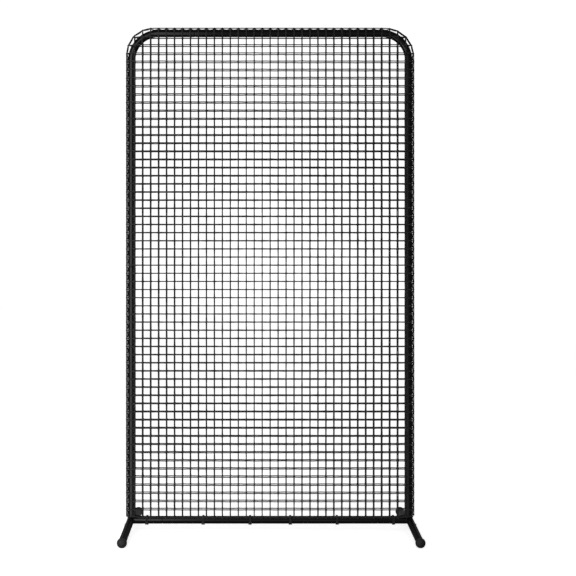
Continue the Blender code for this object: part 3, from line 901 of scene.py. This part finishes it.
tie_radius = 0.0021
tie_shares = (0.145, 0.483, 0.889)
tie_lay, knot_lay = 0.0166, 0.0150
knot_turn = math.radians(27)
knot_out, knot_size = 0.0212, 0.00165


def band_path():
    """A stretched band round the bar and both rope runs, with points evenly along it.

    In each direction it touches whichever of the three circles reaches furthest that way.
    """
    more = clearance + tie_radius
    rounds = np.array([
        [0.0, bar_z, tube_radius + more],
        [-rope_low_y, rope_low_z, rope_radius + more],
        [rope_low_y, rope_low_z, rope_radius + more],
    ])
    angle = np.linspace(0, 2 * np.pi, 721)
    y, z, radius = (rounds[:, k, None] for k in (0, 1, 2))
    best = rounds[(y * np.cos(angle) + z * np.sin(angle) + radius).argmax(0)]
    y, z = best[:, 0] + best[:, 2] * np.cos(angle), best[:, 1] + best[:, 2] * np.sin(angle)
    run = np.concatenate([[0.0], np.cumsum(np.hypot(np.diff(y), np.diff(z)))])
    even = np.linspace(0, run[-1], 97)[:-1]
    return np.interp(even, run, y), np.interp(even, run, z)


def overhand(size, count=72):
    """A tight overhand knot: x = sin t + 2 sin 2t, z = 0.9 (cos t - 2 cos 2t), y = 1.3 sin 3t."""
    t = 2 * np.pi * np.arange(-1, count + 1) / count
    x, y, z = np.sin(t) + 2 * np.sin(2 * t), 1.3 * np.sin(3 * t), np.cos(t) - 2 * np.cos(2 * t)
    return size * np.stack([x, y, 0.9 * z], -1)


knot_facing = np.array([0.0, -math.cos(knot_turn), -math.sin(knot_turn)])
knot_up = np.array([0.0, -math.sin(knot_turn), math.cos(knot_turn)])
knot_axes = np.stack([[1.0, 0.0, 0.0], knot_facing, knot_up])
for label, side in sides.items():
    for number, share in enumerate(tie_shares, 1):
        middle = np.array([side * share * side_x, 0.0, bar_z])
        y, z = band_path()
        cords = []
        for shift in (-1.04, 1.04):
            turn_path = np.stack([np.full(len(y), middle[0] + shift * tie_radius), y, z], -1)
            cords.append(laid_loop(turn_path, np.array([1.0, 0.0, 0.0]), tie_radius, tie_lay, 10))
        centre = middle + knot_out * knot_facing
        knot_path = centre + overhand(knot_size) @ knot_axes
        knot_rings = laid_rings(knot_path, rear, tie_radius * 0.95, knot_lay, 10)
        cords.append(skin(knot_rings[:, 1:-1], looped=True))

        # Each tail leaves the knot to one side and droops as a power of the way along it.
        s = np.linspace(0, 1, 14)
        for way in (-1.0, 1.0):
            aside, down = way * (0.002 + 0.0042 * s), 0.0015 + 0.0070 * s**1.4
            droop = np.stack([aside, -0.0010 * s, -down], -1)
            width = tie_radius * 0.9 * np.sqrt(np.clip((1.04 - s) / 0.12, 0.0, 1.0))
            cords.append(skin(rings_along(centre + droop @ knot_axes, rear, width[None], 10)))
        tie = piece(f"tie_{label}_{number}", cords, twine)
        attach(tie, "screen")
        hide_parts(f"net_tie_{label}_{number}")

# ---------------------------------------------------------------------------
# Studio
# White paper under the net and all round it. A tall soft window stands 1.6 metres in front
# on the left, and weaker ones carry on from its right edge. A wide lamp overhead fills in.
# ---------------------------------------------------------------------------


def stage_paper(name, points, faces, emission):
    """A sheet of white paper that the picture shows and the painted tubes don't mirror."""
    paper, shader, wire = finish_of(name, roughness=0.9, Emission_Strength=emission)
    place = wire.node("TexCoord", out=3)
    mottle = wire.node("TexNoise", values={"Vector": place, "Scale": 3.0, "Detail": 2.0})
    feed(shader, "Base Color", mottle.mixed((0.88, 0.88, 0.88), (0.90, 0.90, 0.90)))
    shader.inputs["Emission Color"].default_value = (1.0, 1.0, 1.0, 1.0)
    mesh = bpy.data.meshes.new(name)
    mesh.from_pydata(points, [], faces)
    mesh.materials.append(paper)
    sheet = bpy.data.objects.new(name, mesh)
    sheet.visible_diffuse = sheet.visible_glossy = sheet.visible_shadow = False
    bpy.context.scene.collection.objects.link(sheet)


floor_corners = 60.0 * np.array([[-1, -1, 0], [1, -1, 0], [1, 1, 0], [-1, 1, 0]], float)
stage_paper("white_floor", floor_corners.tolist(), [(0, 1, 2, 3)], 0.80)
wall_corners = floor_corners[[0, 1, 2, 3] * 2] + [0.0, 0.0, -1.0]
wall_corners[4:, 2] = 60.0
walls = [(0, 1, 5, 4), (1, 2, 6, 5), (2, 3, 7, 6), (3, 0, 4, 7), (4, 5, 6, 7)]
stage_paper("white_walls", wall_corners.tolist(), walls, 0.96)

world = bpy.data.worlds.new("studio")
world.use_nodes = True
world.node_tree.nodes["Background"].inputs[0].default_value = (1.0, 1.0, 1.0, 1.0)
world.node_tree.nodes["Background"].inputs[1].default_value = 0.08
bpy.context.scene.world = world


def soft_window(name, left, right, low, high, distance, glow):
    """An upright window of light in front of the net. Its power is its glow . pi . its area."""
    light = bpy.data.lights.new(name, "AREA")
    light.shape, light.size, light.size_y = "RECTANGLE", right - left, high - low
    light.energy = glow * math.pi * light.size * light.size_y
    lamp = bpy.data.objects.new(name, light)
    lamp.location = ((left + right) / 2, -distance, (low + high) / 2)
    lamp.rotation_euler = (math.radians(90), 0.0, 0.0)
    lamp.visible_camera = False
    bpy.context.scene.collection.objects.link(lamp)


floor_side, ceiling_side = -0.45, 2.8
soft_window("window_left", -2.7, -0.55, floor_side, ceiling_side, 1.6, glow=1.70)
soft_window("window_left_edge", -0.55, -0.38, floor_side, ceiling_side, 1.6, glow=0.80)
soft_window("window_front", -0.38, 1.30, floor_side, ceiling_side, 1.6, glow=0.12)
soft_window("window_low", -0.38, 0.50, floor_side, 0.45, 1.62, glow=0.30)
sky = bpy.data.lights.new("lamp_overhead", "SUN")
sky.energy, sky.angle = 0.5, math.radians(90)
lamp_overhead = bpy.data.objects.new("lamp_overhead", sky)
lamp_overhead.visible_glossy = False
bpy.context.scene.collection.objects.link(lamp_overhead)
bpy.context.scene.view_settings.view_transform = "Standard"
